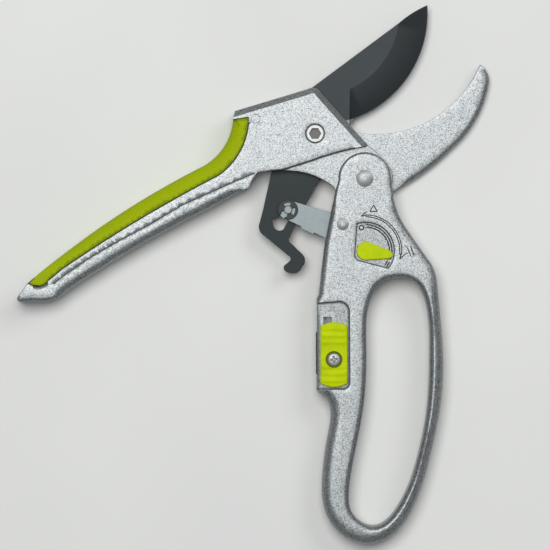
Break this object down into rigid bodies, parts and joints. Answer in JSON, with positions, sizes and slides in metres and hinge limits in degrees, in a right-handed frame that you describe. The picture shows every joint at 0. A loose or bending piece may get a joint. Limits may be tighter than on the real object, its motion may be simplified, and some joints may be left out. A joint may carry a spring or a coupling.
{
  "type": "pruning shears",
  "caption": "Bypass ratchet pruning shears: cast body with a rubber grip inlay, coated blade, hooked jaw, D-loop handle, toggle link, ratchet selector and sliding lock.",
  "frame": {"origin": "rear end of the main pivot bolt's axis, on the plane the shears lie on", "axes": "+Z along the main pivot towards the front face; +Y towards the blade's tip side; +X towards the hook jaw"},
  "size_m": [0.1963, 0.2241, 0.0165],
  "materials": {
    "cast_silver": "hammered silver powder coat on cast aluminium",
    "grip_rubber": "moulded lime rubber with a fine cross-hatched texture",
    "blade_coating": "dark non-stick coating on carbon steel, satin",
    "lime_plastic": "lime moulded plastic, satin",
    "zinc_steel": "bright zinc plate",
    "spring_steel": "oiled spring steel",
    "bronze": "sintered bronze",
    "black_steel": "blackened spring steel"
  },
  "bodies": {
    "upper_body": {"upper_handle": "cast_silver", "grip_inlay": "grip_rubber", "hook_jaw": "cast_silver", "main_bolt": "zinc_steel", "main_nut": "zinc_steel", "head_dowel": "zinc_steel", "lug_spacer": "bronze"},
    "blade": {"blade": "blade_coating", "pivot_bushing": "bronze"},
    "lower_handle": {"lower_handle": "cast_silver", "handle_rivet": "zinc_steel", "link_rivet": "zinc_steel", "return_spring": "spring_steel", "link_spring": "spring_steel"},
    "link": {"link": "zinc_steel", "tang_pin": "zinc_steel", "e_clip": "black_steel"},
    "selector": {"selector_lever": "lime_plastic", "selector_cam": "zinc_steel", "selector_screw": "zinc_steel"},
    "lock": {"lock_slider": "lime_plastic", "lock_screw": "zinc_steel", "lock_latch": "zinc_steel", "latch_washer": "bronze"}
  },
  "joints": [
    {"name": "handle_close", "type": "hinge", "parent": "upper_body", "child": "lower_handle", "pos_m": [0.0206, -0.0186, 0], "axis": [0, 0, -1], "range_deg": [0, 50], "stiffness_Nm_per_rad": 0.4, "springref_deg": -22.92},
    {"name": "blade_close", "type": "hinge", "parent": "upper_body", "child": "blade", "pos_m": [0, 0, 0], "axis": [0, 0, -1], "range_deg": [0, 28]},
    {"name": "link_swing", "type": "hinge", "parent": "lower_handle", "child": "link", "pos_m": [0.0115, -0.0376, 0], "axis": [0, 0, 1], "range_deg": [0, 60]},
    {"name": "selector_turn", "type": "hinge", "parent": "lower_handle", "child": "selector", "pos_m": [0.021, -0.0486, 0], "axis": [0, 0, 1], "range_deg": [0, 110]},
    {"name": "lock_slide", "type": "slide", "parent": "lower_handle", "child": "lock", "axis": [0, 1, 0], "range_m": [0, 0.0065]}
  ],
  "couplings": [
    {"joint": "blade_close", "follows": "handle_close", "ratio": 0.56},
    {"joint": "link_swing", "follows": "handle_close", "ratio": 1.2}
  ]
}
